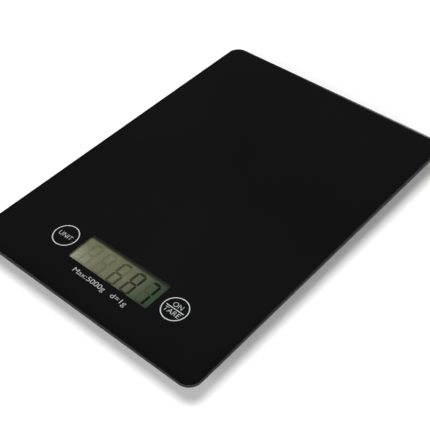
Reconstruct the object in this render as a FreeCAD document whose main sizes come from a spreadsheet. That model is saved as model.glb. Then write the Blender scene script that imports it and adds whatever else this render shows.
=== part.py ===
import FreeCAD, Part
import math
import os
import re
import Sketcher

# A slim kitchen scale with a glass platform, in millimetres. The origin is on the table under the
# middle of the platform: +X to the right, +Y away from the display edge, +Z up.

document = FreeCAD.newDocument("kitchen_scale")
sheet = document.addObject("Spreadsheet::Sheet", "dims")

SIZES = {
    # platform
    "glass_width": 165,
    "glass_depth": 230,
    "glass_thickness": 3,
    "glass_corner": 8,
    "glass_bevel": 0.5,
    "glass_arris": 0.4,
    "overall_height": 16,
    # housing: upper frame and bottom cover
    "housing_width": 143,
    "housing_depth": 208,
    "housing_corner": 10,
    "housing_round": 0.6,
    "frame_height": 7.4,
    "frame_plate": 1.6,
    "frame_wall": 2,
    "cover_floor": 1.6,
    "lip_height": 2,
    "lip_wall": 1.2,
    "lip_gap": 0.1,
    "rim_height": 0.5,
    "rim_wall": 1.4,
    "panel_width": 84,
    "panel_depth": 46,
    "panel_y": -34,
    "panel_corner": 4,
    "panel_recess": 0.3,
    "rib_wall": 1.2,
    "rib_height": 2.4,
    "rib_side": 22,
    "rib_reach": 43,
    "rib_run": 150,
    "rib_y": 20,
    "tape_thickness": 1,
    "tape_margin": 2,
    "tape_open_width": 110,
    "tape_open_depth": 126,
    "tape_open_corner": 6,
    "tape_open_y": 14,
    # feet and load cells
    "foot_x": 56.5,
    "foot_y": 88,
    "cup_radius": 9.8,
    "cup_wall": 1.4,
    "cup_gap": 0.4,
    "cup_base": 0.9,
    "pad_radius": 8.4,
    "pad_height": 1.8,
    "pad_groove": 0.35,
    "cup_floor": 1,
    "flange_side": 21,
    "flange_corner": 3,
    "flange_thickness": 1.2,
    "flange_lift": 0.1,
    "cell_side": 19,
    "cell_thickness": 1,
    "cell_slot": 1.6,
    "tongue_width": 7,
    "tongue_length": 13,
    "cell_peg": 8,
    "peg_radius": 0.7,
    "peg_height": 1.4,
    "load_boss_radius": 2.5,
    "gauge_height": 0.5,
    # display and main board
    "display_y": 83.3,
    "board_width": 90,
    "board_depth": 33,
    "board_thickness": 1.2,
    "board_bottom": 5.9,
    "board_screw_x": 41.5,
    "board_screw_y": 11,
    "board_post_radius": 2,
    "board_screw_radius": 0.8,
    "board_screw_length": 3.6,
    "board_head_radius": 1.7,
    "board_head_height": 1,
    "key_x": 41.5,
    "pillar_side": 6,
    "key_hole_radius": 4.6,
    "lcd_width": 64,
    "lcd_depth": 25,
    "lcd_ledge": 3,
    "lcd_sheet": 1.1,
    "film_thickness": 0.2,
    "film_width": 61,
    "film_depth": 20.6,
    "lcd_top": 11.8,
    "holder_width": 69,
    "holder_depth": 30.4,
    "holder_gap": 0.15,
    "gasket_width": 62.4,
    "gasket_depth": 22,
    "zebra_width": 60,
    "zebra_depth": 2.2,
    "zebra_inset": 1.5,
    "chip_radius": 5,
    # screws through the cover
    "screw_x": 62,
    "screw_y": 45,
    "screw_back": 93,
    "screw_radius": 1.3,
    "screw_length": 5,
    "screw_head_radius": 2.5,
    "screw_head_height": 1.2,
    "screw_well": 1.4,
    "screw_boss": 1.2,
    "post_radius": 3,
    "recess_width": 0.7,
    "recess_length": 2.6,
    "recess_depth": 0.7,
    # battery box
    "battery_y": 30,
    "coin_radius": 10,
    "coin_height": 3.2,
    "coin_step": 0.4,
    "coin_lift": 0.3,
    "box_half_width": 12.2,
    "box_front": 14.2,
    "box_back": 14.4,
    "box_wall": 1.2,
    "box_ceiling": 8.8,
    "door_gap": 0.2,
    "hinge_y": 13,
    "hinge_z": 4.2,
    "barrel_radius": 1.2,
    "pin_radius": 0.7,
    "pin_length": 0.9,
    "pin_gap": 0.05,
    "latch_width": 8,
    "latch_length": 1.6,
    "latch_height": 0.8,
    "grip_depth": 0.3,
    "strip_thickness": 0.3,
    "strip_width": 4,
    "lead_radius": 0.3,
}

# Heights and places that follow from the sizes.
DERIVED = {
    "glass_bottom": "overall_height - glass_thickness",
    "frame_top": "glass_bottom - tape_thickness",
    "plate_bottom": "frame_top - frame_plate",
    "seam": "frame_top - frame_height",
    "cover_bottom": "seam - cover_floor",
    "flange_bottom": "seam + flange_lift",
    "cell_bottom": "flange_bottom + flange_thickness",
    "cell_top": "cell_bottom + cell_thickness",
    "board_top": "board_bottom + board_thickness",
    "lcd_y": "0 - display_y",
    "lcd_glass_top": "lcd_top - film_thickness",
    "lcd_mid": "lcd_glass_top - lcd_sheet",
    "lcd_base": "lcd_mid - lcd_sheet",
    "reflector_bottom": "lcd_base - film_thickness",
    "boss_top": "seam + screw_boss",
    "cup_bore": "cup_radius - cup_wall",
    "coin_bottom": "seam + coin_lift",
    "coin_top": "coin_bottom + coin_height",
    "axis_y": "battery_y + hinge_y",
    "box_front_y": "battery_y - box_front",
    "box_middle_y": "battery_y + (box_back - box_front) / 2",
    "box_depth": "box_front + box_back",
    "door_front_y": "box_front_y + door_gap",
    "strip_x": "coin_radius + strip_thickness / 2",
    "tail_y": "box_front_y - box_wall - strip_thickness",
    "zebra_y": "lcd_y - lcd_depth / 2 + zebra_inset",
}
CROSS_RIB_PLACES = ("-55", "-15", "65")
WORD = re.compile(r"[a-z]\w*")
CORNERS = {"front_left": (-1, -1), "front_right": (1, -1), "rear_left": (-1, 1), "rear_right": (1, 1)}

for row, (alias, size) in enumerate(SIZES.items(), start=1):
    sheet.set(f"A{row}", alias)
    sheet.set(f"B{row}", str(size))
    sheet.setAlias(f"B{row}", alias)
document.recompute()


def formula(text):
    """An expression on the sheet's cells, from one that uses the plain names above."""

    def spell(word):
        name = word.group()
        if name in DERIVED:
            return f"({formula(DERIVED[name])})"
        return f"dims.{name}" if name in SIZES else name

    return WORD.sub(spell, str(text))


def value(text):
    return float(sheet.evalExpression(formula(text)))


def bind(target, sizes):
    """Bind each property of an object to its formula."""
    for name, text in sizes.items():
        target.setExpression(name, formula(text))


def moved(target, x="0", y="0", z="0"):
    bind(target, {"Placement.Base.x": x, "Placement.Base.y": y, "Placement.Base.z": z})
    return target


# ---- sketches ---------------------------------------------------------------------------------


def new_body(label):
    body = document.addObject("PartDesign::Body", label)
    body.Label = label
    return body


def new_sketch(body, name, level="0", role="XY_Plane"):
    """A sketch on one of the body's own planes, lifted off it by level."""
    sketch = body.newObject("Sketcher::SketchObject", name)
    plane = [feature for feature in body.Origin.OriginFeatures if feature.Role == role][0]
    sketch.AttachmentSupport = [(plane, "")]
    sketch.MapMode = "FlatFace"
    bind(sketch, {"AttachmentOffset.Base.z": level})
    return sketch


def dimension(sketch, kind, where, text):
    """A driving dimension of a sketch, bound to its formula."""
    index = sketch.addConstraint(Sketcher.Constraint(kind, *where, value(text)))
    bind(sketch, {f"Constraints[{index}]": text})


def circle(sketch, radius, x="0", y="0"):
    centre = FreeCAD.Vector(value(x), value(y), 0)
    ring = sketch.addGeometry(Part.Circle(centre, FreeCAD.Vector(0, 0, 1), value(radius)), False)
    dimension(sketch, "Radius", (ring,), radius)
    dimension(sketch, "DistanceX", (-1, 1, ring, 3), x)
    dimension(sketch, "DistanceY", (-1, 1, ring, 3), y)


def polygon(sketch, points):
    """A closed outline of straight lines, with every corner given by its two coordinates."""
    corners = [FreeCAD.Vector(value(x), value(y), 0) for x, y in points]
    lines = [
        sketch.addGeometry(Part.LineSegment(start, end), False)
        for start, end in zip(corners, corners[1:] + corners[:1])
    ]
    for line, following in zip(lines, lines[1:] + lines[:1]):
        sketch.addConstraint(Sketcher.Constraint("Coincident", line, 2, following, 1))
    for line, (x, y) in zip(lines, points):
        dimension(sketch, "DistanceX", (-1, 1, line, 1), x)
        dimension(sketch, "DistanceY", (-1, 1, line, 1), y)


def rectangle(sketch, width, depth, x="0", y="0"):
    left, right = f"{x} - ({width}) / 2", f"{x} + ({width}) / 2"
    front, back = f"{y} - ({depth}) / 2", f"{y} + ({depth}) / 2"
    polygon(sketch, [(left, front), (right, front), (right, back), (left, back)])


def rounded_rectangle(sketch, width, depth, corner, x="0", y="0"):
    """Four sides and four tangent corner arcs, anticlockwise from the front side."""
    middle = FreeCAD.Vector(value(x), value(y), 0)
    radius = value(corner)
    reach_x, reach_y = value(width) / 2 - radius, value(depth) / 2 - radius
    centres = [
        middle + FreeCAD.Vector(side_x * reach_x, side_y * reach_y, 0)
        for side_x, side_y in [(1, -1), (1, 1), (-1, 1), (-1, -1)]
    ]
    pieces = []
    for turn, centre in enumerate(centres):
        start_angle = (turn - 1) * math.pi / 2
        outward = FreeCAD.Vector(math.cos(start_angle), math.sin(start_angle), 0) * radius
        line = Part.LineSegment(centres[turn - 1] + outward, centre + outward)
        whole = Part.Circle(centre, FreeCAD.Vector(0, 0, 1), radius)
        arc = Part.ArcOfCircle(whole, start_angle, start_angle + math.pi / 2)
        pieces += [sketch.addGeometry(line, False), sketch.addGeometry(arc, False)]
    for piece, following in zip(pieces, pieces[1:] + pieces[:1]):
        sketch.addConstraint(Sketcher.Constraint("Tangent", piece, 2, following, 1))
    front, first_arc, right, _, back, _, left, _ = pieces
    for side in (front, back):
        sketch.addConstraint(Sketcher.Constraint("Horizontal", side))
    for side in (right, left):
        sketch.addConstraint(Sketcher.Constraint("Vertical", side))
    for arc in pieces[3::2]:
        sketch.addConstraint(Sketcher.Constraint("Equal", first_arc, arc))
    dimension(sketch, "Radius", (first_arc,), corner)
    dimension(sketch, "DistanceX", (-1, 1, right, 1), f"{x} + ({width}) / 2")
    dimension(sketch, "DistanceX", (-1, 1, left, 1), f"{x} - ({width}) / 2")
    dimension(sketch, "DistanceY", (-1, 1, back, 1), f"{y} + ({depth}) / 2")
    dimension(sketch, "DistanceY", (-1, 1, front, 1), f"{y} - ({depth}) / 2")


# ---- features ---------------------------------------------------------------------------------


def pad(body, sketch, height, both_ways=False):
    feature = body.newObject("PartDesign::Pad", sketch.Name + "Pad")
    feature.Profile = sketch
    feature.Midplane = both_ways
    bind(feature, {"Length": height})
    document.recompute()
    return feature


def cut(body, sketch, depth, both_ways=False):
    """Remove what stands above a sketch, up to depth; the body has to lose some volume."""
    before = body.Shape.Volume
    feature = body.newObject("PartDesign::Pocket", sketch.Name + "Cut")
    feature.Profile = sketch
    feature.Midplane = both_ways
    feature.Reversed = not both_ways
    bind(feature, {"Length": depth})
    document.recompute()
    if body.Shape.Volume > before - 1e-3:
        raise RuntimeError(f"{feature.Name} cuts nothing")
    return feature


def revolve(body, sketch):
    feature = body.newObject("PartDesign::Revolution", sketch.Name + "Turn")
    feature.Profile = sketch
    feature.ReferenceAxis = (sketch, ["V_Axis"])
    feature.Angle = 360
    document.recompute()
    return feature


def outer_edges(feature, level, width):
    """The names of a feature's edges at one height that lie on its outline of this width."""
    height, half_width = value(level), value(width) / 2
    found = []
    for number, edge in enumerate(feature.Shape.Edges, start=1):
        box = edge.BoundBox
        flat = abs(box.ZMin - height) < 1e-4 and abs(box.ZMax - height) < 1e-4
        if flat and max(abs(box.XMin), abs(box.XMax)) > half_width - value("housing_corner") - 1e-3:
            found.append(f"Edge{number}")
    return found


def dress(body, kind, feature, edges, size):
    """A Fillet or Chamfer on the named edges of a feature."""
    dressing = body.newObject(f"PartDesign::{kind}", f"{feature.Name}{kind}")
    dressing.Base = (feature, edges)
    bind(dressing, {"Radius" if kind == "Fillet" else "Size": size})
    document.recompute()
    return dressing


def box(name, length, width, height, x, y, z):
    """A Part::Box centred on x and y that stands on z."""
    block = document.addObject("Part::Box", name)
    bind(block, {"Length": length, "Width": width, "Height": height})
    return moved(block, f"{x} - ({length}) / 2", f"{y} - ({width}) / 2", z)


def cylinder(name, radius, height, x, y, z):
    rod = document.addObject("Part::Cylinder", name)
    bind(rod, {"Radius": radius, "Height": height})
    return moved(rod, x, y, z)


def group(label, members):
    """Separate solids kept together in one node."""
    compound = document.addObject("Part::Compound", label)
    compound.Label = label
    compound.Links = members
    return compound


# ---- platform ---------------------------------------------------------------------------------


def make_glass():
    body = new_body("platform_glass")
    outline = new_sketch(body, "GlassOutline", "glass_bottom")
    rounded_rectangle(outline, "glass_width", "glass_depth", "glass_corner")
    plate = pad(body, outline, "glass_thickness")
    top = outer_edges(plate, "overall_height", "glass_width")
    bevelled = dress(body, "Chamfer", plate, top, "glass_bevel")
    under = outer_edges(bevelled, "glass_bottom", "glass_width")
    dress(body, "Chamfer", bevelled, under, "glass_arris")
    return body


def make_tape():
    """Foam tape die-cut round the display, the two key pillars and a large open middle."""
    body = new_body("bond_tape")
    outline = new_sketch(body, "TapeOutline", "frame_top")
    width, depth = "housing_width - 2 * tape_margin", "housing_depth - 2 * tape_margin"
    rounded_rectangle(outline, width, depth, "housing_corner - tape_margin")
    rectangle(outline, "holder_width + 2", "holder_depth + 2", y="lcd_y")
    rounded_rectangle(outline, "tape_open_width", "tape_open_depth", "tape_open_corner", y="tape_open_y")
    for side in (-1, 1):
        circle(outline, "key_hole_radius", f"{side} * key_x", "lcd_y")
    pad(body, outline, "tape_thickness")
    return body


# ---- housing ----------------------------------------------------------------------------------

SCREW_PLACES = [
    ("0 - screw_x", "0 - screw_y"),
    ("screw_x", "0 - screw_y"),
    ("0 - screw_x", "screw_y"),
    ("screw_x", "screw_y"),
    ("0", "screw_back"),
]
BOARD_SCREW_PLACES = [
    (f"{side} * board_screw_x", f"lcd_y + {end} * board_screw_y") for side in (-1, 1) for end in (-1, 1)
]
FOOT_PLACES = [(f"{side} * foot_x", f"{end} * foot_y") for side, end in CORNERS.values()]


def circles(body, name, level, places, radius):
    """A sketch of equal circles."""
    sketch = new_sketch(body, name, level)
    for x, y in places:
        circle(sketch, radius, x, y)
    return sketch


def make_frame():
    body = new_body("upper_frame")
    outline = new_sketch(body, "FrameOutline", "seam")
    rounded_rectangle(outline, "housing_width", "housing_depth", "housing_corner")
    shell = pad(body, outline, "frame_height")
    top = outer_edges(shell, "frame_top", "housing_width")
    dress(body, "Fillet", shell, top, "housing_round")
    hollow = new_sketch(body, "FrameHollow", "seam")
    width, depth = "housing_width - 2 * frame_wall", "housing_depth - 2 * frame_wall"
    rounded_rectangle(hollow, width, depth, "housing_corner - frame_wall")
    cut(body, hollow, "frame_height - frame_plate")
    for number, side in enumerate((-1, 1)):
        rib = new_sketch(body, f"LongRib{number}", "plate_bottom - rib_height")
        rectangle(rib, "rib_wall", "rib_run", f"{side} * rib_side", "rib_y")
        pad(body, rib, "rib_height")
    for number, place in enumerate(CROSS_RIB_PLACES):
        rib = new_sketch(body, f"CrossRib{number}", "plate_bottom - rib_height")
        rectangle(rib, "2 * rib_reach", "rib_wall", y=place)
        pad(body, rib, "rib_height")
    bosses = circles(body, "LoadBosses", "cell_top", FOOT_PLACES, "load_boss_radius")
    pad(body, bosses, "plate_bottom - cell_top")
    posts = circles(body, "ScrewPosts", "boss_top", SCREW_PLACES, "post_radius")
    pad(body, posts, "plate_bottom - boss_top")
    pilots = circles(body, "ScrewPilots", "boss_top", SCREW_PLACES, "screw_radius")
    cut(body, pilots, "plate_bottom - boss_top")
    posts = circles(body, "BoardPosts", "board_top", BOARD_SCREW_PLACES, "board_post_radius")
    pad(body, posts, "plate_bottom - board_top")
    pilots = circles(body, "BoardPilots", "board_top", BOARD_SCREW_PLACES, "board_screw_radius")
    cut(body, pilots, "plate_bottom - board_top")
    window = new_sketch(body, "DisplayOpening", "plate_bottom")
    rectangle(window, "holder_width + 1", "holder_depth + 1", y="lcd_y")
    cut(body, window, "frame_plate")
    keys = circles(body, "KeyOpenings", "plate_bottom", key_places(), "key_hole_radius")
    cut(body, keys, "frame_plate")
    return body


def key_places():
    return [(f"{side} * key_x", "lcd_y") for side in (-1, 1)]


def make_cover():
    body = new_body("bottom_cover")
    outline = new_sketch(body, "CoverOutline", "cover_bottom")
    rounded_rectangle(outline, "housing_width", "housing_depth", "housing_corner")
    plate = pad(body, outline, "cover_floor")
    under = outer_edges(plate, "cover_bottom", "housing_width")
    dress(body, "Fillet", plate, under, "housing_round")
    lip = new_sketch(body, "CoverLip", "seam")
    for wall in ("frame_wall + lip_gap", "frame_wall + lip_gap + lip_wall"):
        width, depth = f"housing_width - 2 * ({wall})", f"housing_depth - 2 * ({wall})"
        rounded_rectangle(lip, width, depth, f"housing_corner - ({wall})")
    pad(body, lip, "lip_height")
    bosses = circles(body, "ScrewBosses", "seam", SCREW_PLACES, "screw_head_radius + 1.5")
    pad(body, bosses, "screw_boss")
    wells = circles(body, "ScrewWells", "cover_bottom", SCREW_PLACES, "screw_head_radius + 0.3")
    cut(body, wells, "screw_well")
    holes = circles(body, "ScrewHoles", "cover_bottom", SCREW_PLACES, "screw_radius + 0.15")
    cut(body, holes, "cover_floor + screw_boss")
    feet = circles(body, "FootHoles", "cover_bottom", FOOT_PLACES, "cup_radius + cup_gap")
    cut(body, feet, "cover_floor")
    rims = circles(body, "FootRims", "cover_bottom - rim_height", FOOT_PLACES, "cup_radius + cup_gap")
    for x, y in FOOT_PLACES:
        circle(rims, "cup_radius + cup_gap + rim_wall", x, y)
    pad(body, rims, "rim_height")
    panel = new_sketch(body, "LabelPanel", "cover_bottom")
    rounded_rectangle(panel, "panel_width", "panel_depth", "panel_corner", y="panel_y")
    cut(body, panel, "panel_recess")
    cut_battery_box(body)
    return body


def cut_battery_box(body):
    """The battery box is moulded with the cover: walls, ceiling, hinge bores and latch recess."""
    walls = new_sketch(body, "BoxWalls", "seam")
    rectangle(walls, "2 * (box_half_width + box_wall)", "box_depth + 2 * box_wall", y="box_middle_y")
    pad(body, walls, "box_ceiling + box_wall - seam")
    inside = new_sketch(body, "BoxInside", "cover_bottom")
    rectangle(inside, "2 * box_half_width", "box_depth", y="box_middle_y")
    cut(body, inside, "box_ceiling - cover_bottom")
    bores = new_sketch(body, "HingeBores", role="YZ_Plane")
    circle(bores, "pin_radius + pin_gap", "axis_y", "hinge_z")
    cut(body, bores, "2 * (box_half_width + door_gap + pin_length)", both_ways=True)
    recess = new_sketch(body, "LatchRecess", "cover_bottom")
    rectangle(recess, "latch_width + 0.4", "latch_length + 0.4", y="box_front_y - latch_length / 2")
    cut(body, recess, "latch_height + pin_gap")
    notch = new_sketch(body, "FingerNotch", "cover_bottom")
    notch_y = "box_front_y - latch_length - 1.6"
    rounded_rectangle(notch, "latch_width + 2", "3.2", "1.2", y=notch_y)
    cut(body, notch, "latch_height")
    slots = new_sketch(body, "ContactSlots", "box_ceiling - strip_thickness")
    rectangle(slots, "strip_width + 0.2", "2 * box_wall", y="box_front_y - box_wall / 2")
    cut(body, slots, "strip_thickness")
    side_slot = new_sketch(body, "SideSlot", "coin_bottom + coin_step")
    rectangle(side_slot, "strip_thickness + 0.1", "2 * box_wall", "strip_x", "box_front_y - box_wall / 2")
    cut(body, side_slot, "coin_height - 2 * coin_step")


def make_door():
    body = new_body("battery_door")
    plate = new_sketch(body, "DoorPlate", "cover_bottom")
    length = "axis_y - door_front_y"
    middle = "(axis_y + door_front_y) / 2"
    rectangle(plate, "2 * (box_half_width - door_gap)", length, y=middle)
    pad(body, plate, "cover_floor")
    barrel = new_sketch(body, "HingeBarrel", role="YZ_Plane")
    circle(barrel, "barrel_radius", "axis_y", "hinge_z")
    pad(body, barrel, "2 * (box_half_width - door_gap)", both_ways=True)
    pins = new_sketch(body, "HingePins", role="YZ_Plane")
    circle(pins, "pin_radius", "axis_y", "hinge_z")
    pad(body, pins, "2 * (box_half_width + pin_length)", both_ways=True)
    latch = new_sketch(body, "LatchTongue", "cover_bottom")
    latch_y = "box_front_y - latch_length / 2 + door_gap"
    rectangle(latch, "latch_width", "latch_length + 2 * door_gap", y=latch_y)
    pad(body, latch, "latch_height")
    for number, side in enumerate((-1, 1)):
        rail = new_sketch(body, f"CellRail{number}", "seam")
        rectangle(rail, "1.2", "16", f"{side} * 6", "battery_y")
        pad(body, rail, "coin_lift")
    grooves = new_sketch(body, "GripGrooves", "cover_bottom")
    for number in range(4):
        rectangle(grooves, "12", "0.8", y=f"door_front_y + 3.4 + {number} * 1.8")
    cut(body, grooves, "grip_depth")
    return body


# ---- feet and load cells ----------------------------------------------------------------------


def make_foot(corner, side, end):
    """Rubber pad, plastic cup with a square flange, load cell on the flange, and its gauge."""
    cup = new_body(f"foot_cup_{corner}")
    profile = new_sketch(cup, f"CupProfile_{corner}", role="XZ_Plane")
    recess_top = "pad_height"
    floor_top = "pad_height + cup_floor"
    polygon(
        profile,
        [
            ("0", recess_top),
            ("pad_radius + 0.2", recess_top),
            ("pad_radius + 0.2", "cup_base"),
            ("cup_radius - 0.4", "cup_base"),
            ("cup_radius", "cup_base + 0.4"),
            ("cup_radius", "cell_bottom"),
            ("cup_bore", "cell_bottom"),
            ("cup_bore", floor_top),
            ("0", floor_top),
        ],
    )
    revolve(cup, profile)
    flange = new_sketch(cup, f"Flange_{corner}", "flange_bottom")
    rounded_rectangle(flange, "flange_side", "flange_side", "flange_corner")
    circle(flange, "cup_radius - cup_wall / 2")
    pad(cup, flange, "flange_thickness")
    pegs = circles(cup, f"Pegs_{corner}", "cell_bottom", peg_places(), "peg_radius")
    pad(cup, pegs, "peg_height")

    cell = new_body(f"load_cell_{corner}")
    plate = new_sketch(cell, f"CellPlate_{corner}", "cell_bottom")
    rounded_rectangle(plate, "cell_side", "cell_side", "2")
    for x, y in peg_places():
        circle(plate, "peg_radius + 0.1", x, y)
    pad(cell, plate, "cell_thickness")
    slot = new_sketch(cell, f"CellSlot_{corner}", "cell_bottom")
    tongue_half, slot_half = "tongue_width / 2", "tongue_width / 2 + cell_slot"
    root, tip = f"{end} * tongue_length / 2", f"{end} * (0 - tongue_length / 2)"
    tip_inner = f"{end} * (cell_slot - tongue_length / 2)"
    polygon(
        slot,
        [
            (f"0 - ({slot_half})", tip),
            (slot_half, tip),
            (slot_half, root),
            (tongue_half, root),
            (tongue_half, tip_inner),
            (f"0 - {tongue_half}", tip_inner),
            (f"0 - {tongue_half}", root),
            (f"0 - ({slot_half})", root),
        ],
    )
    cut(cell, slot, "cell_thickness")

    gauge = new_body(f"strain_gauge_{corner}")
    coat = new_sketch(gauge, f"GaugeCoat_{corner}", "cell_bottom - gauge_height")
    rounded_rectangle(coat, "5", "3", "1", y=f"{end} * (tongue_length / 2 - 2)")
    pad(gauge, coat, "gauge_height")

    rubber = new_body(f"foot_pad_{corner}")
    profile = new_sketch(rubber, f"PadProfile_{corner}", role="XZ_Plane")
    outline = [("0", "pad_height"), ("0", "0")]
    for ring in range(3):
        inner, outer = f"{1.6 + 2 * ring}", f"{2.2 + 2 * ring}"
        outline += [(inner, "0"), (inner, "pad_groove"), (outer, "pad_groove"), (outer, "0")]
    outline += [("pad_radius - 0.3", "0"), ("pad_radius", "0.3"), ("pad_radius", "pad_height")]
    polygon(profile, outline)
    revolve(rubber, profile)

    pieces = [cup, cell, gauge, rubber]
    for piece in pieces:
        moved(piece, f"{side} * foot_x", f"{end} * foot_y")
    return pieces


def peg_places():
    return [(f"{x} * cell_peg", f"{y} * cell_peg") for x, y in CORNERS.values()]


# ---- battery and contacts ---------------------------------------------------------------------


def make_coin():
    """The wide face of the cell, its positive pole, looks down at the door."""
    body = new_body("coin_cell")
    profile = new_sketch(body, "CoinProfile", role="XZ_Plane")
    polygon(
        profile,
        [
            ("0", "coin_bottom"),
            ("coin_radius - 0.4", "coin_bottom"),
            ("coin_radius", "coin_bottom + 0.4"),
            ("coin_radius", "coin_top - coin_step - 0.3"),
            ("coin_radius - 0.4", "coin_top - coin_step"),
            ("coin_radius - 1.2", "coin_top - coin_step"),
            ("coin_radius - 1.4", "coin_top"),
            ("0", "coin_top"),
        ],
    )
    revolve(body, profile)
    return moved(body, y="battery_y")


def make_contacts():
    """Two bent spring strips: one presses on the cell from above, one touches its rim."""
    negative = new_body("contact_negative")
    bend = new_sketch(negative, "NegativeBend", role="YZ_Plane")
    strip_under = "box_ceiling - strip_thickness"
    polygon(
        bend,
        [
            ("tail_y", "coin_bottom + coin_step"),
            ("tail_y + strip_thickness", "coin_bottom + coin_step"),
            ("tail_y + strip_thickness", strip_under),
            ("battery_y - 5", strip_under),
            ("battery_y - 1", "coin_top"),
            ("battery_y + 1", "coin_top"),
            ("battery_y + 3", "coin_top + 0.4"),
            ("battery_y + 3", "coin_top + 0.4 + strip_thickness"),
            ("battery_y + 0.6", "coin_top + strip_thickness"),
            ("battery_y - 0.8", "coin_top + strip_thickness"),
            ("battery_y - 4.6", "box_ceiling"),
            ("tail_y", "box_ceiling"),
        ],
    )
    pad(negative, bend, "strip_width", both_ways=True)

    positive = new_body("contact_positive")
    strip = new_sketch(positive, "PositiveStrip", "coin_bottom + coin_step")
    length = "battery_y - box_front_y + box_wall + 6"
    rectangle(strip, "strip_thickness", length, "strip_x", f"battery_y + 4 - ({length}) / 2")
    pad(positive, strip, "coin_height - 2 * coin_step")
    return [negative, positive]


# ---- display and main board -------------------------------------------------------------------


def make_board():
    body = new_body("main_board")
    outline = new_sketch(body, "BoardOutline", "board_bottom")
    rounded_rectangle(outline, "board_width", "board_depth", "1.5", y="lcd_y")
    for x, y in BOARD_SCREW_PLACES:
        circle(outline, "board_screw_radius + 0.2", x, y)
    pad(body, outline, "board_thickness")
    return body


def make_chip():
    """A low drop of epoxy over the bonded chip, under the board."""
    body = new_body("chip_blob")
    profile = new_sketch(body, "BlobProfile", role="XZ_Plane")
    polygon(
        profile,
        [
            ("0", "board_bottom"),
            ("0", "board_bottom - 1"),
            ("0.45 * chip_radius", "board_bottom - 0.9"),
            ("0.8 * chip_radius", "board_bottom - 0.6"),
            ("chip_radius", "board_bottom"),
        ],
    )
    revolve(body, profile)
    return moved(body, y="lcd_y")


def make_components():
    """Chip resistors and capacitors in two rows beside the chip, and the clock crystal."""
    parts = []
    for row, offset in enumerate((-8, 8)):
        for place in range(6):
            name = f"Chip{row}{place}"
            x, y = f"{7 * place - 17.5}", f"lcd_y + {offset}"
            parts.append(box(name, "2", "1.2", "0.7", x, y, "board_bottom - 0.7"))
    parts.append(box("Crystal", "5", "3.2", "1", "14", "lcd_y", "board_bottom - 1"))
    return group("board_components", parts)


def make_display():
    panel = new_body("lcd_panel")
    upper = new_sketch(panel, "UpperSheet", "lcd_mid")
    rectangle(upper, "lcd_width", "lcd_depth", y="lcd_y")
    pad(panel, upper, "lcd_sheet")
    lower = new_sketch(panel, "LowerSheet", "lcd_base")
    rectangle(lower, "lcd_width", "lcd_depth - lcd_ledge", y="lcd_y + lcd_ledge / 2")
    pad(panel, lower, "lcd_sheet")
    film = ("film_width", "film_depth", "film_thickness", "0")
    polariser = box("lcd_polariser", *film, "lcd_y + 0.5", "lcd_glass_top")
    reflector = box("lcd_reflector", *film, "lcd_y + lcd_ledge / 2", "reflector_bottom")

    holder = new_body("lcd_holder")
    outline = new_sketch(holder, "HolderOutline", "board_top")
    rounded_rectangle(outline, "holder_width", "holder_depth", "1", y="lcd_y")
    pad(holder, outline, "lcd_top - board_top")
    seat = new_sketch(holder, "LcdSeat", "reflector_bottom")
    rectangle(seat, "lcd_width + 2 * holder_gap", "lcd_depth + 2 * holder_gap", y="lcd_y")
    cut(holder, seat, "lcd_top - reflector_bottom")
    opening = new_sketch(holder, "HolderOpening", "board_top")
    rectangle(opening, "lcd_width - 6", "lcd_depth - 10", y="lcd_y + 3")
    cut(holder, opening, "reflector_bottom - board_top")
    channel = new_sketch(holder, "ZebraChannel", "board_top")
    room = "2 * holder_gap"
    rectangle(channel, f"zebra_width + {room}", f"zebra_depth + {room}", y="zebra_y")
    cut(holder, channel, "reflector_bottom - board_top")

    size = ("zebra_width", "zebra_depth", "lcd_mid - board_top")
    zebra = box("zebra_strip", *size, "0", "zebra_y", "board_top")

    gasket = new_body("display_gasket")
    ring = new_sketch(gasket, "GasketRing", "lcd_top")
    rectangle(ring, "holder_width", "holder_depth", y="lcd_y")
    rectangle(ring, "gasket_width", "gasket_depth", y="lcd_y")
    pad(gasket, ring, "glass_bottom - lcd_top")
    return [panel, polariser, reflector, holder, zebra, gasket]


def make_pillars():
    """Conductive foam pillars that carry the two touch keys from the board to the glass."""
    names = ("touch_pillar_unit", "touch_pillar_tare")
    size = ("pillar_side", "pillar_side", "glass_bottom - board_top")
    return [box(name, *size, x, y, "board_top") for name, (x, y) in zip(names, key_places())]


# ---- screws and wires -------------------------------------------------------------------------


def screw(name, places, shank_radius, shank_length, head_radius, head_height, head_level):
    """Pan-head screws driven from below, with a cross recess in the head."""
    screws = []
    for number, (x, y) in enumerate(places):
        tag = f"{name}{number}"
        head = cylinder(tag + "Head", head_radius, head_height, x, y, head_level)
        shank = cylinder(tag + "Shank", shank_radius, shank_length, x, y, f"{head_level} + {head_height}")
        body = document.addObject("Part::Fuse", tag + "Body")
        body.Base, body.Tool = head, shank
        bars = [
            box(tag + "BarX", "recess_length", "recess_width", "recess_depth", x, y, head_level),
            box(tag + "BarY", "recess_width", "recess_length", "recess_depth", x, y, head_level),
        ]
        cross = document.addObject("Part::Fuse", tag + "Cross")
        cross.Base, cross.Tool = bars
        driven = document.addObject("Part::Cut", tag)
        driven.Base, driven.Tool = body, cross
        screws.append(driven)
    return group(name, screws)


def make_screws():
    head_level = "cover_bottom + screw_well - screw_head_height"
    sizes = ("screw_radius", "screw_length", "screw_head_radius", "screw_head_height")
    cover = screw("cover_screws", SCREW_PLACES, *sizes, head_level)
    head_level = "board_bottom - board_head_height"
    sizes = ("board_screw_radius", "board_screw_length", "board_head_radius", "board_head_height")
    board = screw("board_screws", BOARD_SCREW_PLACES, *sizes, head_level)
    return [cover, board]


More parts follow.
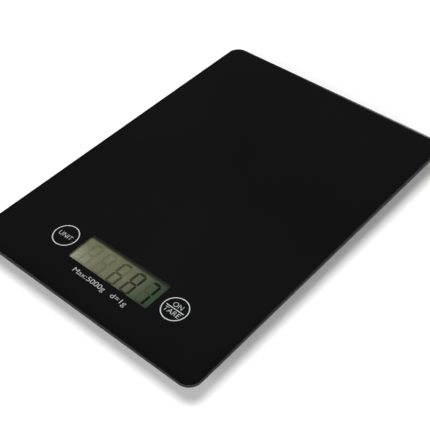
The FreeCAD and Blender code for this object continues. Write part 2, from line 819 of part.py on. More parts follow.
def wire(route, radius):
    """A round wire along a route of straight runs joined by tangent arcs as large as they fit."""
    points = [FreeCAD.Vector(*(value(text) for text in place)) for place in route]
    edges = []
    start = points[0]
    for before, corner, after in zip(points, points[1:], points[2:]):
        inward, outward = (before - corner).normalize(), (after - corner).normalize()
        half_turn = (math.pi - inward.getAngle(outward)) / 2
        reach = 0.45 * min((before - corner).Length, (after - corner).Length)
        first, last = corner + inward * reach, corner + outward * reach
        bend = reach / math.tan(half_turn)
        centre = corner + (inward + outward).normalize() * math.hypot(bend, reach)
        middle = centre + (corner - centre).normalize() * bend
        edges += [Part.LineSegment(start, first).toShape(), Part.Arc(first, middle, last).toShape()]
        start = last
    edges.append(Part.LineSegment(start, points[-1]).toShape())
    path = Part.Wire(edges)
    section = Part.Wire([Part.makeCircle(radius, points[0], points[1] - points[0])])
    tube = path.makePipeShell([section], True, False)
    expected = math.pi * radius**2 * path.Length
    if abs(tube.Volume / expected - 1) > 0.01:
        raise RuntimeError("a wire's volume isn't its section times its length")
    return tube


def wires(label, routes):
    feature = document.addObject("Part::Feature", label)
    feature.Label = label
    feature.Shape = Part.makeCompound([wire(route, value("lead_radius")) for route in routes])
    return feature


UNDER_PLATE = "plate_bottom - lead_radius - 0.1"
ALONG_FLOOR = "seam + lead_radius + 0.1"
FRONT_LEAD = [
    (48.1, "cell_top"),
    (48.1, "8.3"),
    (46.9, "9.3"),
    (44.6, "9.3"),
    (43.4, "8.4"),
    (43.4, "board_top"),
]
REAR_LEAD = [
    (56, "foot_y - 8.6", "cell_top"),
    (56, "foot_y - 8.6", "8.4"),
    (55.6, "foot_y - 10.6", "9.7"),
    (54.4, "foot_y - 15.5", UNDER_PLATE),
    (52, "foot_y - 27", UNDER_PLATE),
    (50.6, "40", UNDER_PLATE),
    (49.6, "14", UNDER_PLATE),
    (50.2, "-12", UNDER_PLATE),
    (49.8, "-34", UNDER_PLATE),
    (48.6, "-50", UNDER_PLATE),
    (44.4, "-60", UNDER_PLATE),
    (39.6, "-65.6", "9.6"),
    (37.6, "-68.6", "9.2"),
    (37.4, "-69.8", "8.5"),
    (37.4, "-69.8", "board_top"),
]
BATTERY_LEAD = [
    (0.4, "0", ALONG_FLOOR),
    (-0.6, "-18", ALONG_FLOOR),
    (0.8, "-36", ALONG_FLOOR),
    (2, "-52", ALONG_FLOOR),
    (4, "-61", ALONG_FLOOR),
    (5, "-66", ALONG_FLOOR),
    (5.2, "-68.2", ALONG_FLOOR),
    (5.2, "-68.2", "board_bottom"),
]


def make_leads():
    """Three leads from each load cell to the board, and two from the battery contacts."""
    bundles = []
    for corner, (side, end) in CORNERS.items():
        routes = []
        for strand in (-1, 0, 1):
            if end < 0:
                y = f"0 - foot_y + {strand}"
                routes.append([(f"{side} * {x}", y, z) for x, z in FRONT_LEAD])
            else:
                routes.append([(f"{side} * ({x} + {strand})", y, z) for x, y, z in REAR_LEAD])
        bundles.append(wires(f"sensor_leads_{corner}", routes))
    routes = []
    tail_z = "coin_bottom + coin_step + 0.4"
    for start_x, start_y in (("0", "tail_y"), ("strip_x", "box_front_y - box_wall - 2")):
        route = [
            (start_x, start_y, tail_z),
            (start_x, f"{start_y} - 1.6", tail_z),
            (start_x, f"{start_y} - 4.4", ALONG_FLOOR),
        ]
        route += [(f"{start_x} + {x}", y, z) for x, y, z in BATTERY_LEAD]
        routes.append(route)
    bundles.append(wires("battery_leads", routes))
    return bundles


# ---- assembly ---------------------------------------------------------------------------------

pieces = [make_glass(), make_tape(), make_frame(), make_cover(), make_door(), make_coin()]
pieces += make_contacts()
pieces += [make_board(), make_chip(), make_components()]
pieces += make_display()
pieces += make_pillars()
pieces += make_screws()
pieces += make_leads()
for corner, (side, end) in CORNERS.items():
    pieces += make_foot(corner, side, end)
document.recompute()

for item in document.Objects:
    if {"Invalid", "Error"} & set(item.State):
        raise RuntimeError(f"{item.Label} failed: {item.State}")
os.makedirs("parts", exist_ok=True)
for piece in pieces:
    if piece.Shape.isNull() or not piece.Shape.isValid():
        raise RuntimeError(f"{piece.Label} has no valid shape")
    piece.Shape.exportStep(f"parts/{piece.Label}.step")
print(len(pieces), "pieces")
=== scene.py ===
import math

import bmesh
import bpy
from mathutils import Matrix, Vector


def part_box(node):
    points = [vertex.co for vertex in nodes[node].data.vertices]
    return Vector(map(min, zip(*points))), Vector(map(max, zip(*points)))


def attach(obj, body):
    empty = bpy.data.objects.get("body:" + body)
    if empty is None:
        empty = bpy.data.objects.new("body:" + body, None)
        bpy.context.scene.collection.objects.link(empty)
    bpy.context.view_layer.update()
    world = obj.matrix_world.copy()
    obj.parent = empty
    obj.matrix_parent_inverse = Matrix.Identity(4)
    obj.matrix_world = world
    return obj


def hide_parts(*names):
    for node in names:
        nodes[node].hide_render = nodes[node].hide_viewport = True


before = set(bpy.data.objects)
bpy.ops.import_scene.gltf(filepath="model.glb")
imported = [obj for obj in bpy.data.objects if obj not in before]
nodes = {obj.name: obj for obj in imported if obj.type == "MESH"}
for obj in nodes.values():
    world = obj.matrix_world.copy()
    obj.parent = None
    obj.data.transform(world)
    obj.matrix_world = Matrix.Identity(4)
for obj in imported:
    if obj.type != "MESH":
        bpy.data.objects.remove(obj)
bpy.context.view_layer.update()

MM = 0.001
glass_low, glass_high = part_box("platform_glass")
film_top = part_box("lcd_polariser")[1].z
cover_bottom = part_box("bottom_cover")[0].z
CORNERS = ("front_left", "front_right", "rear_left", "rear_right")

# The glass plate, as in the frame.
GLASS_CORNER = 8 * MM
GLASS_BEVEL = 0.5 * MM
GLASS_ARRIS = 0.4 * MM

# The print lies just above the back face of the glass.
PRINT_LIFT = 0.03 * MM
PRINT_THICKNESS = 0.02 * MM
PRINT_LEVEL = glass_low.z + PRINT_LIFT
LEGEND_LEVEL = PRINT_LEVEL + PRINT_THICKNESS


# ---- node trees -------------------------------------------------------------------------------


def new_material(name, colour, roughness, **sockets):
    """A material with one Principled shader; sockets are named with _ for a space."""
    made = bpy.data.materials.new(name)
    made.use_nodes = True
    shader = made.node_tree.nodes["Principled BSDF"]
    shader.inputs["Base Color"].default_value = (*colour, 1)
    shader.inputs["Roughness"].default_value = roughness
    for socket, number in sockets.items():
        shader.inputs[socket.replace("_", " ")].default_value = number
    return made, made.node_tree, shader


def place(tree, stretch=(1, 1, 1)):
    """Where a point is, in the object's own frame, stretched along each axis."""
    where = tree.nodes.new("ShaderNodeTexCoord")
    mapping = tree.nodes.new("ShaderNodeMapping")
    mapping.inputs["Scale"].default_value = stretch
    tree.links.new(where.outputs["Object"], mapping.inputs["Vector"])
    return mapping.outputs["Vector"]


def noise(tree, size, detail=4, stretch=(1, 1, 1)):
    """Smooth noise with features of about this size, in metres."""
    texture = tree.nodes.new("ShaderNodeTexNoise")
    texture.inputs["Scale"].default_value = 1 / size
    texture.inputs["Detail"].default_value = detail
    tree.links.new(place(tree, stretch), texture.inputs["Vector"])
    return texture.outputs["Fac"]


def cells(tree, size):
    """Round cells of about this size, in metres."""
    texture = tree.nodes.new("ShaderNodeTexVoronoi")
    texture.inputs["Scale"].default_value = 1 / size
    tree.links.new(place(tree), texture.inputs["Vector"])
    return texture.outputs["Distance"]


def between(tree, amount, low, high, start=0.3, end=0.7):
    """A number that runs from low to high as amount runs from start to end."""
    ramp = tree.nodes.new("ShaderNodeMapRange")
    ramp.inputs["From Min"].default_value = start
    ramp.inputs["From Max"].default_value = end
    ramp.inputs["To Min"].default_value = low
    ramp.inputs["To Max"].default_value = high
    tree.links.new(amount, ramp.inputs["Value"])
    return ramp.outputs["Result"]


def blend_colour(tree, amount, first, second):
    """From the first colour to the second as amount runs from 0 to 1; each is a tuple or an output."""
    mix = tree.nodes.new("ShaderNodeMix")
    mix.data_type = "RGBA"
    for socket, colour in zip(("A", "B"), (first, second)):
        target = [s for s in mix.inputs if s.name == socket and s.type == "RGBA"][0]
        if isinstance(colour, tuple):
            target.default_value = (*colour, 1)
        else:
            tree.links.new(colour, target)
    tree.links.new(amount, mix.inputs["Factor"])
    return [s for s in mix.outputs if s.type == "RGBA"][0]


def two_tone(tree, pattern, first, second):
    """Two colours that follow a pattern of noise or cells."""
    return blend_colour(tree, between(tree, pattern, 0, 1), first, second)


def split_place(tree):
    """The X, Y and Z of a point in the object's own frame, as outputs."""
    where = tree.nodes.new("ShaderNodeSeparateXYZ")
    tree.links.new(place(tree), where.inputs["Vector"])
    return where.outputs


def relief(tree, shader, height, distance, strength=0.6):
    """Bump of this many metres."""
    bump = tree.nodes.new("ShaderNodeBump")
    bump.inputs["Distance"].default_value = distance
    bump.inputs["Strength"].default_value = strength
    tree.links.new(height, bump.inputs["Height"])
    tree.links.new(bump.outputs["Normal"], shader.inputs["Normal"])


# ---- materials --------------------------------------------------------------------------------

BLACK_INK = (0.004, 0.004, 0.0045)


def textured(name, dark, light, rough, patch=6 * MM, grain=0.35 * MM, depth=0.03 * MM, **sockets):
    """A moulded or cast surface: two tones in soft patches, uneven gloss and a fine grain."""
    made, tree, shader = new_material(name, light, rough[0], **sockets)
    tree.links.new(two_tone(tree, noise(tree, patch), dark, light), shader.inputs["Base Color"])
    fine = noise(tree, grain, detail=6)
    tree.links.new(between(tree, fine, *rough), shader.inputs["Roughness"])
    relief(tree, shader, fine, depth)
    return made


def brushed(name, dark, light, rough, along=(1, 12, 12)):
    """Metal with fine lines along X."""
    made, tree, shader = new_material(name, light, rough[0], Metallic=1.0)
    lines = noise(tree, 1.6 * MM, detail=8, stretch=along)
    tree.links.new(two_tone(tree, lines, dark, light), shader.inputs["Base Color"])
    tree.links.new(between(tree, lines, *rough), shader.inputs["Roughness"])
    relief(tree, shader, lines, 0.01 * MM, 0.4)
    return made


def foam_material():
    """Black closed-cell foam."""
    made, tree, shader = new_material("foam", (0.02, 0.02, 0.02), 0.9)
    pores = cells(tree, 0.35 * MM)
    tone = two_tone(tree, pores, (0.012, 0.012, 0.013), (0.05, 0.05, 0.05))
    tree.links.new(tone, shader.inputs["Base Color"])
    relief(tree, shader, pores, 0.12 * MM)
    return made


def glass_material():
    """Clear float glass, with a ripple too faint for the eye."""
    clear = {"Transmission_Weight": 1.0, "IOR": 1.52}
    made, tree, shader = new_material("clear_glass", (0.93, 0.96, 0.945), 0.0, **clear)
    relief(tree, shader, noise(tree, 40 * MM, detail=2), 0.01 * MM, 0.15)
    return made


def print_material():
    """Screen-printed black ceramic ink, seen from above through the glass."""
    made, tree, shader = new_material("black_print", BLACK_INK, 0.6, Specular_IOR_Level=0.0)
    broad = noise(tree, 120 * MM, detail=2)
    tone = two_tone(tree, broad, (0.0032, 0.0032, 0.0036), (0.0052, 0.0052, 0.0058))
    tree.links.new(tone, shader.inputs["Base Color"])
    relief(tree, shader, noise(tree, 0.25 * MM), 0.01 * MM)
    return made


def inked_edge_material():
    """Matt black ink on the ground edge of the glass and on its back, seen from outside."""
    return textured(
        "inked_edge",
        dark=(0.0058, 0.0058, 0.0063),
        light=(0.0078, 0.0078, 0.0083),
        rough=(0.55, 0.75),
        patch=5 * MM,
        grain=0.15 * MM,
        depth=0.02 * MM,
        Specular_IOR_Level=0.15,
    )


def band_material():
    """The ink's inner face is black, with a painted grey highlight along the back edge that grows
    brighter to the right.
    """
    made, tree, shader = new_material("edge_ink_painted_highlight", BLACK_INK, 0.6, Specular_IOR_Level=0.0)
    where = split_place(tree)
    rightwards = between(tree, where["X"], 0, 1, -30 * MM, 60 * MM)
    # Painted highlight: the grey that the back edge turns to, brighter towards the right.
    painted_grey_highlight = two_tone(tree, noise(tree, 7 * MM), (0.3, 0.31, 0.31), (0.42, 0.43, 0.43))
    back = blend_colour(tree, rightwards, (0.012, 0.012, 0.013), painted_grey_highlight)
    back_starts, back_full = glass_high.y - 0.3 * MM, glass_high.y - 0.15 * MM
    backwards = between(tree, where["Y"], 0, 1, back_starts, back_full)
    tree.links.new(blend_colour(tree, backwards, BLACK_INK, back), shader.inputs["Base Color"])
    return made


def legend_material():
    """Off-white print."""
    return textured(
        "white_print",
        dark=(0.52, 0.52, 0.53),
        light=(0.66, 0.66, 0.67),
        rough=(0.5, 0.65),
        patch=3 * MM,
        grain=0.2 * MM,
        depth=0.005 * MM,
    )


def film_tone(tree, where):
    """Grey-green, with a painted speckled glint front left, and towards the right a painted shade,
    darker and greener.
    """
    even = two_tone(tree, noise(tree, 9 * MM), (0.152, 0.149, 0.089), (0.18, 0.176, 0.108))
    # Painted glint: a speckled pale patch at the front left of the display.
    speckled_painted_glint = two_tone(tree, noise(tree, 0.8 * MM), (0.24, 0.238, 0.175), (0.46, 0.455, 0.35))
    forwards = between(tree, where["Y"], 0, 1, -79 * MM, -90 * MM)
    leftwards = between(tree, where["X"], 0, 1, -10 * MM, -29 * MM)
    left_end_painted_glint = blend_colour(tree, forwards, (0.17, 0.167, 0.107), speckled_painted_glint)
    # Painted shade: darker and greener towards the right end.
    rightwards = between(tree, where["X"], 0, 1, 3 * MM, 27 * MM)
    left_and_middle = blend_colour(tree, leftwards, even, left_end_painted_glint)
    return blend_colour(tree, rightwards, left_and_middle, (0.043, 0.068, 0.04))


def film_material():
    """The display's polariser, in the window's shade along its back edge."""
    tone = (0.16, 0.157, 0.095)
    made, tree, shader = new_material("polariser", tone, 0.35, Specular_IOR_Level=0.1)
    where = split_place(tree)
    shade = between(tree, where["Y"], 0, 1, -74.6 * MM, -73 * MM)
    tone = blend_colour(tree, shade, film_tone(tree, where), (0.03, 0.03, 0.018))
    tree.links.new(tone, shader.inputs["Base Color"])
    relief(tree, shader, noise(tree, 0.3 * MM), 0.004 * MM)
    return made


def segment_material(name, left, right):
    """The film's tone with its painted glint and painted shade, darkened by one share at the display's
    left end and another at its right.
    """
    tone = (0.05, 0.05, 0.03)
    made, tree, shader = new_material(name, tone, 0.45, Specular_IOR_Level=0.1)
    where = split_place(tree)
    darkening = between(tree, where["X"], left, right, 2 * MM, 24 * MM)
    tone = blend_colour(tree, darkening, film_tone(tree, where), (0.004, 0.004, 0.003))
    tree.links.new(tone, shader.inputs["Base Color"])
    relief(tree, shader, noise(tree, 0.3 * MM), 0.004 * MM)
    return made


def board_material():
    """Solder mask with copper tracks showing through it."""
    made, tree, shader = new_material("solder_mask", (0.01, 0.09, 0.035), 0.3, Coat_Weight=0.4)
    tracks = tree.nodes.new("ShaderNodeTexWave")
    tracks.inputs["Scale"].default_value = 120
    tracks.inputs["Distortion"].default_value = 6
    tracks.inputs["Detail"].default_value = 1
    tree.links.new(place(tree), tracks.inputs["Vector"])
    lines = between(tree, tracks.outputs["Fac"], 0, 1, 0.7, 0.8)
    tone = blend_colour(tree, lines, (0.008, 0.07, 0.03), (0.03, 0.16, 0.06))
    tree.links.new(tone, shader.inputs["Base Color"])
    relief(tree, shader, lines, 0.03 * MM)
    return made


def label_material():
    """A pale grey label film."""
    return textured(
        "label_film",
        dark=(0.14, 0.14, 0.143),
        light=(0.152, 0.152, 0.155),
        rough=(0.35, 0.45),
        patch=8 * MM,
        grain=0.3 * MM,
        depth=0.008 * MM,
    )


def housing_material():
    """Charcoal plastic with a fine spark-eroded texture."""
    return textured(
        "textured_abs",
        dark=(0.0228, 0.0228, 0.0242),
        light=(0.0252, 0.0252, 0.0267),
        rough=(0.45, 0.62),
        patch=14 * MM,
        grain=0.45 * MM,
        depth=0.05 * MM,
    )


def rubber_material():
    """Matt rubber of the foot pads."""
    return textured(
        "foot_rubber",
        dark=(0.028, 0.028, 0.029),
        light=(0.045, 0.045, 0.046),
        rough=(0.75, 0.95),
        patch=3 * MM,
        grain=0.5 * MM,
    )


def panel_material():
    """The display's glass, dark where no polariser covers it."""
    return textured(
        "display_glass",
        dark=(0.03, 0.033, 0.025),
        light=(0.045, 0.05, 0.036),
        rough=(0.08, 0.16),
        depth=0.004 * MM,
    )


def paint_nodes():
    """Each CAD node's finish."""
    black, grey = (0.014, 0.014, 0.015), (0.024, 0.024, 0.025)
    moulded = textured("moulded_plastic", black, grey, (0.35, 0.5), 4 * MM)
    steel = brushed("load_cell_steel", (0.42, 0.42, 0.43), (0.62, 0.62, 0.63), (0.25, 0.42))
    screw = brushed("screw_steel", (0.3, 0.3, 0.31), (0.5, 0.5, 0.51), (0.25, 0.4), (3, 3, 3))
    can = brushed("cell_can", (0.6, 0.6, 0.6), (0.75, 0.75, 0.74), (0.18, 0.32), (2, 8, 8))
    strip = brushed("contact_strip", (0.6, 0.59, 0.55), (0.78, 0.76, 0.7), (0.2, 0.35))
    silicone = textured("gauge_silicone", (0.68, 0.68, 0.66), (0.8, 0.8, 0.78), (0.4, 0.6))
    lead = textured("lead_insulation", (0.3, 0.02, 0.018), (0.42, 0.035, 0.03), (0.4, 0.55))
    epoxy = textured("chip_epoxy", (0.008, 0.008, 0.008), (0.014, 0.014, 0.014), (0.15, 0.3))
    ceramic = textured("component_ceramic", (0.2, 0.14, 0.09), (0.34, 0.26, 0.17), (0.3, 0.5), 1.5 * MM)
    zebra = textured("zebra_rubber", (0.55, 0.42, 0.38), (0.7, 0.56, 0.52), (0.5, 0.7), 1 * MM)
    finishes = {
        housing_material(): ["upper_frame", "bottom_cover", "battery_door"],
        moulded: ["lcd_holder"] + [f"foot_cup_{corner}" for corner in CORNERS],
        rubber_material(): [f"foot_pad_{corner}" for corner in CORNERS],
        foam_material(): ["bond_tape", "display_gasket", "touch_pillar_unit", "touch_pillar_tare"],
        steel: [f"load_cell_{corner}" for corner in CORNERS],
        silicone: [f"strain_gauge_{corner}" for corner in CORNERS],
        lead: [f"sensor_leads_{corner}" for corner in CORNERS] + ["battery_leads"],
        can: ["coin_cell"],
        strip: ["contact_negative", "contact_positive"],
        board_material(): ["main_board"],
        epoxy: ["chip_blob"],
        ceramic: ["board_components"],
        panel_material(): ["lcd_panel"],
        film_material(): ["lcd_polariser", "lcd_reflector"],
        zebra: ["zebra_strip"],
        screw: ["cover_screws", "board_screws"],
    }
    for finish, names in finishes.items():
        for name in names:
            slots = nodes[name].material_slots
            for number in range(len(slots)):
                slots[number].material = finish


# ---- flat layers ------------------------------------------------------------------------------


def rounded_outline(width, depth, corner, centre=(0, 0), steps=10):
    """The points of a rounded rectangle, anticlockwise."""
    points = []
    for turn, (side, end) in enumerate(((1, 1), (-1, 1), (-1, -1), (1, -1))):
        for step in range(steps + 1):
            angle = (turn + step / steps) * math.pi / 2
            x = centre[0] + side * (width / 2 - corner) + corner * math.cos(angle)
            y = centre[1] + end * (depth / 2 - corner) + corner * math.sin(angle)
            points.append((x, y))
    return points


def round_outline(radius, centre, steps=96):
    """The points of a circle."""
    angles = [2 * math.pi * step / steps for step in range(steps)]
    return [(centre[0] + radius * math.cos(a), centre[1] + radius * math.sin(a)) for a in angles]


def layer(name, outlines, bottom, thickness, material, body, slot):
    """A thin flat piece with these outlines; one outline inside another is a hole."""
    curve = bpy.data.curves.new(name, "CURVE")
    curve.dimensions = "2D"
    curve.fill_mode = "BOTH"
    curve.extrude = thickness / 2
    for outline in outlines:
        spline = curve.splines.new("POLY")
        spline.points.add(len(outline) - 1)
        for point, (x, y) in zip(spline.points, outline):
            point.co = (x, y, 0, 1)
        spline.use_cyclic_u = True
    return settle(name, curve, (0, 0, bottom + thickness / 2), material, body, slot)


def lettering(name, words, centre, height, width, bottom, material, body, slot):
    """Raised words centred on a point, scaled to this cap height and width."""
    text = bpy.data.curves.new(name, "FONT")
    text.body = words
    text.align_x = "CENTER"
    text.size = 1
    text.offset = LETTER_THINNING
    holder = bpy.data.objects.new(name, text)
    mesh = bpy.data.meshes.new_from_object(holder)
    bpy.data.objects.remove(holder)
    xs, ys = [v.co.x for v in mesh.vertices], [v.co.y for v in mesh.vertices]
    base, top = caps(words, ys)
    middle = Vector(((min(xs) + max(xs)) / 2, (base + top) / 2, 0))
    scale = Vector((width / (max(xs) - min(xs)), height / (top - base), 1))
    mesh.transform(Matrix.Diagonal((*scale, 1)) @ Matrix.Translation(-middle))
    piece = bpy.data.objects.new(name, mesh)
    piece.location = (*centre, bottom)
    return finish(piece, material, body, slot)


def caps(words, ys):
    """The foot and the head of the capitals: below the foot hang only the tails of small letters."""
    tail = 0.0 if any(letter in words for letter in "gjpqy") else min(ys)
    return tail, max(ys)


def settle(name, curve, location, material, body, slot):
    """Turn a curve into a mesh piece at a place."""
    holder = bpy.data.objects.new(name, curve)
    mesh = bpy.data.meshes.new_from_object(holder)
    bpy.data.objects.remove(holder)
    piece = bpy.data.objects.new(name, mesh)
    piece.location = location
    return finish(piece, material, body, slot)


def finish(piece, material, body, slot):
    """Give a piece its material and its body."""
    piece.data.materials.clear()
    piece.data.materials.append(material)
    bpy.context.scene.collection.objects.link(piece)
    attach(piece, body)
    return piece


# ---- print on the back of the glass -----------------------------------------------------------

PRINT_X = 0.7 * MM
PRINT_MARGIN = 0.45 * MM
WINDOW = (PRINT_X, -82.1 * MM)
WINDOW_SIZE = (59 * MM, 19.5 * MM)
WINDOW_CORNER = 0.4 * MM
KEY_Y = -82.4 * MM
KEY_X = 41.5 * MM
RING_OUTER = 7.85 * MM
RING_INNER = 7.3 * MM
# How far the two words of the right-hand key lie above and below its bar.
ON_RISE = 2.6 * MM
TARE_DROP = 2.5 * MM
BAR_SIZE = (11.9 * MM, 0.5 * MM)
BAR_CORNER = 0.1 * MM
RATING = (0.9 * MM, -96.6 * MM)
# Cap height and width of each legend.
UNIT_SIZE = (2.9 * MM, 9.8 * MM)
ON_SIZE = (2.9 * MM, 6.2 * MM)
TARE_SIZE = (2.9 * MM, 10.6 * MM)
RATING_SIZE = (3.1 * MM, 39.5 * MM)
# Taken off the outline of every letter, as a share of the typeface's size.
LETTER_THINNING = -0.014

# The ink band keeps this far from the outside of the glass, and is this thick.
BAND_GAP = 0.06 * MM
BAND_SKIN = 0.02 * MM


def loft(name, profile, capped, material):
    """A closed skin round the plate: profile lists each ring's inset from the outline and its height.

    A capped skin has a flat face at either end; the other kind closes on itself.
    """
    width, depth = glass_high.x - glass_low.x, glass_high.y - glass_low.y
    made = bmesh.new()
    rings = []
    for inset, height in profile:
        outline = rounded_outline(width - 2 * inset, depth - 2 * inset, GLASS_CORNER - inset, steps=24)
        rings.append([made.verts.new((x, y, height)) for x, y in outline])
    pairs = list(zip(rings, rings[1:])) + ([] if capped else [(rings[-1], rings[0])])
    for lower, upper in pairs:
        for step in range(len(lower)):
            following = (step + 1) % len(lower)
            made.faces.new((lower[step], lower[following], upper[following], upper[step]))
    if capped:
        made.faces.new(rings[0])
        made.faces.new(rings[-1])
    bmesh.ops.recalc_face_normals(made, faces=made.faces)
    mesh = bpy.data.meshes.new(name)
    made.to_mesh(mesh)
    made.free()
    mesh.shade_smooth()
    mesh.set_sharp_from_angle(angle=math.radians(30))
    return finish(bpy.data.objects.new(name, mesh), material, "scale", "platform_glass")


def cut_window(mesh):
    """Divide the back face along the four sides of the window."""
    made = bmesh.new()
    made.from_mesh(mesh)
    for axis in (0, 1):
        for side in (-1, 1):
            back = [face for face in made.faces if face.normal.z < -0.9]
            edges = {edge for face in back for edge in face.edges}
            points = {point for face in back for point in face.verts}
            middle, across = Vector(), Vector()
            middle[axis] = WINDOW[axis] + side * WINDOW_SIZE[axis] / 2
            across[axis] = 1
            geometry = [*back, *edges, *points]
            bmesh.ops.bisect_plane(made, geom=geometry, plane_co=middle, plane_no=across)
    made.to_mesh(mesh)
    made.free()


def is_clear(face):
    """The top face, its bevel and the window are clear; the edge and the rest of the back are inked."""
    away = [abs(face.center[axis] - WINDOW[axis]) for axis in (0, 1)]
    in_window = all(distance < size / 2 for distance, size in zip(away, WINDOW_SIZE))
    return face.normal.z > 0.1 or (face.normal.z < -0.9 and in_window)


def make_glass():
    """The plate with its bevel above and its arris below, as in the frame, with crisp edges."""
    low, high = glass_low.z, glass_high.z
    lower = [(GLASS_ARRIS, low), (0, low + GLASS_ARRIS)]
    profile = lower + [(0, high - GLASS_BEVEL), (GLASS_BEVEL, high)]
    plate = loft("glass_plate", profile, True, glass_material())
    plate.data.materials.append(inked_edge_material())
    cut_window(plate.data)
    for face in plate.data.polygons:
        face.material_index = int(not is_clear(face))
    plate.visible_shadow = False
    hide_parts("platform_glass")


def make_edge_band():
    """The black ink carries on up the inside of the edge, as a very fine closed skin; along the back
    edge it carries a painted grey highlight.
    """
    foot = (GLASS_ARRIS + BAND_GAP / 2, glass_low.z + BAND_GAP)
    shoulder = (BAND_GAP, glass_low.z + GLASS_ARRIS + BAND_GAP * 2 / 3)
    top = (BAND_GAP, glass_high.z - GLASS_BEVEL - BAND_GAP)
    inside = [(inset + BAND_SKIN, height) for inset, height in (top, shoulder, foot)]
    profile = [foot, shoulder, top] + inside
    loft("edge_band", profile, False, band_material())


def make_print():
    """The black print with its window, and the white rings and legends on top of it."""
    ink, white = print_material(), legend_material()
    make_glass()
    make_edge_band()
    width = glass_high.x - glass_low.x - 2 * PRINT_MARGIN
    depth = glass_high.y - glass_low.y - 2 * PRINT_MARGIN
    edge = rounded_outline(width, depth, GLASS_CORNER - PRINT_MARGIN)
    window = rounded_outline(*WINDOW_SIZE, WINDOW_CORNER, WINDOW)
    layer("back_print", [edge, window], PRINT_LEVEL, PRINT_THICKNESS, ink, "scale", "platform_glass")
    ring = {"bottom": LEGEND_LEVEL, "thickness": PRINT_THICKNESS}
    ring.update(material=white, body="scale", slot="platform_glass")
    for key, side in (("unit", -1), ("tare", 1)):
        centre = (PRINT_X + side * KEY_X, KEY_Y)
        rings = [round_outline(RING_OUTER, centre), round_outline(RING_INNER, centre)]
        layer(f"key_ring_{key}", rings, **ring)
    write = {"bottom": LEGEND_LEVEL + PRINT_THICKNESS}
    write.update(material=white, body="scale", slot="platform_glass")
    left, right = PRINT_X - KEY_X, PRINT_X + KEY_X
    lettering("legend_unit", "UNIT", (left, KEY_Y), *UNIT_SIZE, **write)
    lettering("legend_on", "ON", (right, KEY_Y + ON_RISE), *ON_SIZE, **write)
    lettering("legend_tare", "TARE", (right, KEY_Y - TARE_DROP), *TARE_SIZE, **write)
    bar = rounded_outline(*BAR_SIZE, BAR_CORNER, (right, KEY_Y))
    layer("legend_bar", [bar], **ring)
    lettering("legend_rating", "Max:5000g   d=1g", RATING, *RATING_SIZE, **write)


# ---- display ----------------------------------------------------------------------------------

DIGIT_HEIGHT = 17.0 * MM
DIGIT_WIDTH = 6.9 * MM
STROKE = 1.6 * MM
DIGIT_Y = -83.3 * MM
DIGIT_PLACES = [-20.1 * MM, -9.7 * MM, 1.9 * MM, 12.4 * MM, 22.9 * MM]
SHOWN = [" ", " ", "6", "8", "7"]
LIT = {"6": "acdefg", "8": "abcdefg", "7": "abc", " ": ""}
SLANT = 0.03
SEGMENT_GAP = 0.12 * MM
DRIVEN_THICKNESS = 0.02 * MM
RESTING_THICKNESS = 0.01 * MM


def bar_outline(start, end, stroke, gap):
    """A segment of a digit: a bar with pointed ends, a little short of its neighbours."""
    start, end = Vector(start), Vector(end)
    along = (end - start).normalized()
    across = Vector((-along.y, along.x)) * stroke / 2
    first, last = start + along * gap, end - along * gap
    inset = along * stroke / 2
    points = [first, first + inset + across, last - inset + across, last, last - inset - across]
    return points + [first + inset - across]


def segment_outlines(letters, centre_x):
    """The outlines of the lettered segments of the digit at this X."""
    half_width, half_height = (DIGIT_WIDTH - STROKE) / 2, (DIGIT_HEIGHT - STROKE) / 2
    corners = {
        "a": ((-1, 1), (1, 1)),
        "b": ((1, 1), (1, 0)),
        "c": ((1, 0), (1, -1)),
        "d": ((-1, -1), (1, -1)),
        "e": ((-1, 0), (-1, -1)),
        "f": ((-1, 1), (-1, 0)),
        "g": ((-1, 0), (1, 0)),
    }
    outlines = []
    for letter in letters:
        start, end = [(x * half_width, y * half_height) for x, y in corners[letter]]
        points = bar_outline(start, end, STROKE, SEGMENT_GAP)
        outlines.append([(centre_x + p.x + SLANT * p.y, DIGIT_Y + p.y) for p in points])
    return outlines


def make_segments():
    """Driven segments are dark; the resting ones show faintly."""
    lit = segment_material("segment_dark", 0.62, 0.95)
    faint = segment_material("segment_faint", 0.2, 0.2)
    dark, pale = [], []
    for place_x, shown in zip(DIGIT_PLACES, SHOWN):
        dark += segment_outlines(LIT[shown], place_x)
        pale += segment_outlines([s for s in "abcdefg" if s not in LIT[shown]], place_x)
    layer("segments_driven", dark, film_top, DRIVEN_THICKNESS, lit, "scale", "lcd_film")
    layer("segments_resting", pale, film_top, RESTING_THICKNESS, faint, "scale", "lcd_film")


# ---- underside --------------------------------------------------------------------------------

# From the lowest point of the cover's rims up to its flat, and on up to the floor of the label's recess.
RIM_HEIGHT = 0.5 * MM
RECESS_DEPTH = 0.3 * MM
LABEL_CENTRE = (0, -34 * MM)
LABEL_THICKNESS = 0.08 * MM
BORDER_THICKNESS = 0.02 * MM


def make_label():
    """A blank rating label in its recess, with a plain ruled border."""
    level = cover_bottom + RIM_HEIGHT + RECESS_DEPTH - LABEL_THICKNESS
    outline = rounded_outline(82 * MM, 44 * MM, 3 * MM, LABEL_CENTRE)
    film = label_material()
    layer("blank_label", [outline], level, LABEL_THICKNESS, film, "scale", "housing_plastic")
    ink = textured("label_ink", (0.03, 0.03, 0.03), (0.045, 0.045, 0.045), (0.5, 0.6))
    outer = rounded_outline(78 * MM, 40 * MM, 2 * MM, LABEL_CENTRE)
    inner = rounded_outline(77.2 * MM, 39.2 * MM, 1.6 * MM, LABEL_CENTRE)
    level -= BORDER_THICKNESS
    layer("label_border", [outer, inner], level, BORDER_THICKNESS, ink, "scale", "housing_plastic")


# ---- studio -----------------------------------------------------------------------------------

FLOOR_REACH = 6
FLOOR_DROP = 0.05 * MM
SUN_STRENGTH = 1.55
SUN_ANGLE = math.radians(40)
SUN_DIRECTION = Vector((0.12, -0.1, -1))
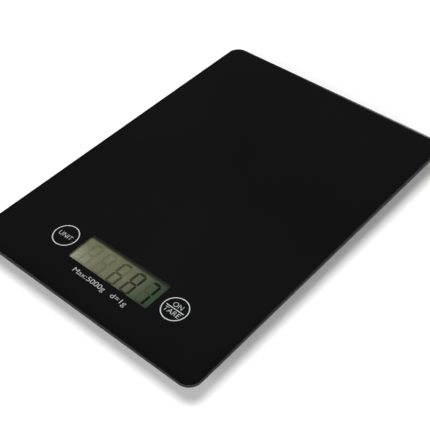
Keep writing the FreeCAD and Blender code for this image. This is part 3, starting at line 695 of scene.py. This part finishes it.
# Each lamp's name, place, width and height in metres, and power in watts; all face the origin.
LAMPS = [
    ("overhead", (-0.1, 0.0, 1.3), (0.8, 0.8), 8),
    ("under_fill", (0.2, -0.3, -0.9), (1.2, 1.2), 45),
    ("front_fill", (0.5, -1.0, 0.5), (1.2, 0.7), 14),
]
# The world's grey by the sine of the angle above level; below level it is as at level.
SKY = [(0.0, 0.9), (0.28, 0.75), (0.42, 0.06), (0.86, 0.05), (0.95, 0.22)]


def aim(data, direction):
    """A lamp that shines this way and isn't itself seen in or through the glass."""
    lamp = bpy.data.objects.new(data.name, data)
    lamp.rotation_euler = direction.to_track_quat("-Z", "Y").to_euler()
    lamp.visible_transmission = False
    lamp.visible_glossy = False
    bpy.context.scene.collection.objects.link(lamp)
    return lamp


def make_floor():
    """A pale floor. It is clear from below and lets the lamp under it light the underside."""
    made, tree, shader = new_material("studio_floor", (0.92, 0.92, 0.92), 0.7)
    tone = two_tone(tree, noise(tree, 0.4), (0.9, 0.9, 0.9), (0.94, 0.94, 0.94))
    tree.links.new(tone, shader.inputs["Base Color"])
    see_through = tree.nodes.new("ShaderNodeBsdfTransparent")
    side = tree.nodes.new("ShaderNodeNewGeometry")
    choose = tree.nodes.new("ShaderNodeMixShader")
    tree.links.new(side.outputs["Backfacing"], choose.inputs["Fac"])
    tree.links.new(shader.outputs["BSDF"], choose.inputs[1])
    tree.links.new(see_through.outputs["BSDF"], choose.inputs[2])
    tree.links.new(choose.outputs["Shader"], tree.nodes["Material Output"].inputs["Surface"])
    mesh = bpy.data.meshes.new("studio_floor")
    turns = ((-1, -1), (1, -1), (1, 1), (-1, 1))
    corners = [(x * FLOOR_REACH, y * FLOOR_REACH, 0) for x, y in turns]
    mesh.from_pydata(corners, [], [(0, 1, 2, 3)])
    mesh.materials.append(made)
    floor = bpy.data.objects.new("studio_floor", mesh)
    floor.location.z = -FLOOR_DROP
    floor.visible_shadow = False
    bpy.context.scene.collection.objects.link(floor)


def make_world():
    """Pale low down and dark higher up, so that the glass stays black, with a dim patch overhead."""
    world = bpy.data.worlds.new("studio")
    bpy.context.scene.world = world
    world.use_nodes = True
    tree = world.node_tree
    where = tree.nodes.new("ShaderNodeTexCoord")
    split = tree.nodes.new("ShaderNodeSeparateXYZ")
    tree.links.new(where.outputs["Generated"], split.inputs["Vector"])
    ramp = tree.nodes.new("ShaderNodeValToRGB")
    while len(ramp.color_ramp.elements) < len(SKY):
        ramp.color_ramp.elements.new(0.5)
    for stop, (height, grey) in zip(ramp.color_ramp.elements, SKY):
        stop.position = height
        stop.color = (grey, grey, grey, 1)
    tree.links.new(split.outputs["Z"], ramp.inputs["Fac"])
    tree.links.new(ramp.outputs["Color"], tree.nodes["Background"].inputs["Color"])
    world.cycles_visibility.transmission = False


def make_lights():
    """A soft sun, a lamp overhead, one in front and one under the floor."""
    sun = bpy.data.lights.new("soft_sun", "SUN")
    sun.energy = SUN_STRENGTH
    sun.angle = SUN_ANGLE
    aim(sun, SUN_DIRECTION)
    for name, location, size, power in LAMPS:
        data = bpy.data.lights.new(name, "AREA")
        data.shape = "RECTANGLE"
        data.size, data.size_y = size
        data.energy = power
        aim(data, -Vector(location)).location = location


CAMERA_PLACE = Vector((0.2644, -0.2879, 0.382))
CAMERA_RIGHT = Vector((0.75377, 0.65632, -0.03275))
CAMERA_UP = Vector((-0.44625, 0.54783, 0.70763))
FOCAL_LENGTH = 77.0
SENSOR_WIDTH = 36.0
NEAREST = 0.01


def make_camera():
    """The photograph's view."""
    bpy.context.scene.view_settings.view_transform = "Standard"
    data = bpy.data.cameras.new("camera")
    data.lens = FOCAL_LENGTH
    data.sensor_width = SENSOR_WIDTH
    camera = bpy.data.objects.new("camera", data)
    back = CAMERA_RIGHT.cross(CAMERA_UP)
    turn = Matrix((CAMERA_RIGHT, CAMERA_UP, back)).transposed()
    camera.matrix_world = Matrix.Translation(CAMERA_PLACE) @ turn.to_4x4()
    data.clip_start = NEAREST
    bpy.context.scene.collection.objects.link(camera)
    bpy.context.scene.camera = camera


make_camera()
make_floor()
make_world()
make_lights()
paint_nodes()
make_print()
make_segments()
make_label()
